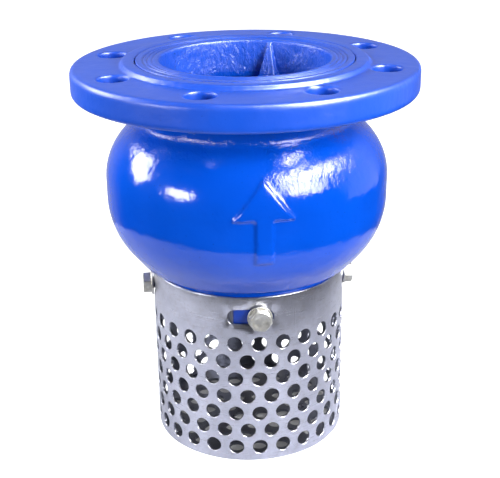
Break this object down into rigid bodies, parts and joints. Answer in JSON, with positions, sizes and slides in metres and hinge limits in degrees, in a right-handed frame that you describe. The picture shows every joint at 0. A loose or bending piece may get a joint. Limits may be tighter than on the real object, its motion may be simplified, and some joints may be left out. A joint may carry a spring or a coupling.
{
  "type": "foot valve",
  "caption": "Flanged foot valve: globe-shaped coated iron body with a spring-loaded disc that lifts with the flow, above a perforated steel strainer.",
  "frame": {"origin": "centre of the strainer's lower rim, on the plane the valve stands on", "axes": "+Z along the flow, from the strainer to the outlet flange; the four strainer bolts lie on the X and Y axes and the flow arrow faces -Y"},
  "size_m": [0.22, 0.22, 0.2555],
  "materials": {
    "blue_epoxy": "gloss epoxy coating over cast iron",
    "bronze": "machined",
    "stainless": "machined",
    "rubber": "matt",
    "spring_steel": "drawn wire",
    "strainer_sheet": "satin rolled sheet",
    "zinc_plated": "bright zinc"
  },
  "bodies": {
    "body": {"valve_body": "blue_epoxy", "guide_spider": "blue_epoxy", "guide_bush": "bronze", "seat_ring": "bronze", "seat_screws": "stainless", "seat_o_ring": "rubber", "lower_bush": "bronze", "valve_spring": "spring_steel", "spring_washer": "stainless", "strainer_shell": "strainer_sheet", "strainer_base": "strainer_sheet", "strainer_bolts": "zinc_plated", "strainer_washers": "zinc_plated"},
    "disc": {"valve_disc": "stainless", "disc_seal": "rubber", "seal_retainer": "stainless", "retainer_washer": "stainless", "disc_stem": "stainless", "stem_nut": "stainless", "stem_lock_nut": "stainless"}
  },
  "joints": [
    {"name": "disc_lift", "type": "slide", "parent": "body", "child": "disc", "axis": [0, 0, 1], "range_m": [0, 0.022], "stiffness_N_per_m": 600, "springref_m": -0.02, "deforming": ["valve_spring"]}
  ]
}
